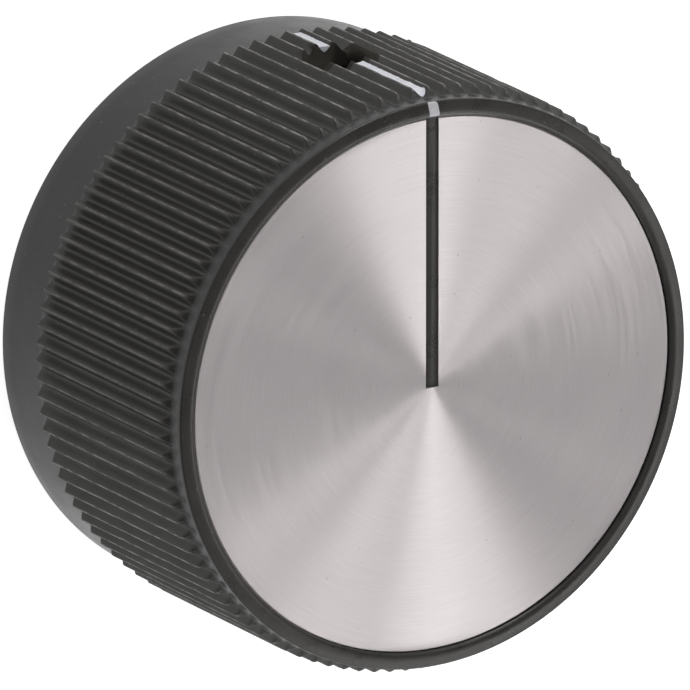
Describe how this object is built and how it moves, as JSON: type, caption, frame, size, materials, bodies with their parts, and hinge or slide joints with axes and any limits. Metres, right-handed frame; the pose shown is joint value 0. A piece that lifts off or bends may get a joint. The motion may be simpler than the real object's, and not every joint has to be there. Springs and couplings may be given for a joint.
{
  "type": "selector knob",
  "caption": "Round black selector knob with a ribbed grip, a recessed spun aluminium face with a dark pointer line, a white index stripe and a set screw for a quarter-inch shaft.",
  "frame": {"origin": "centre of the back face, on the shaft axis", "axes": "+Z along the shaft axis from the back face to the front, +Y along the pointer line"},
  "size_m": [0.044, 0.044, 0.0254],
  "materials": {
    "black_plastic": "moulded, satin to semi-gloss, with fine scuffs",
    "spun_aluminium": "circular spun finish",
    "white_paint": "filled paint",
    "brass": "turned",
    "black_steel": "black oxide",
    "adhesive": "transfer adhesive film"
  },
  "bodies": {
    "root": {"knob_body": "black_plastic", "shaft_bushing": "brass", "set_screw": "black_steel", "face_disc": "spun_aluminium", "disc_film": "adhesive", "index_stripe_front": "white_paint", "index_stripe_rear": "white_paint", "rim_mark": "white_paint"}
  },
  "joints": []
}
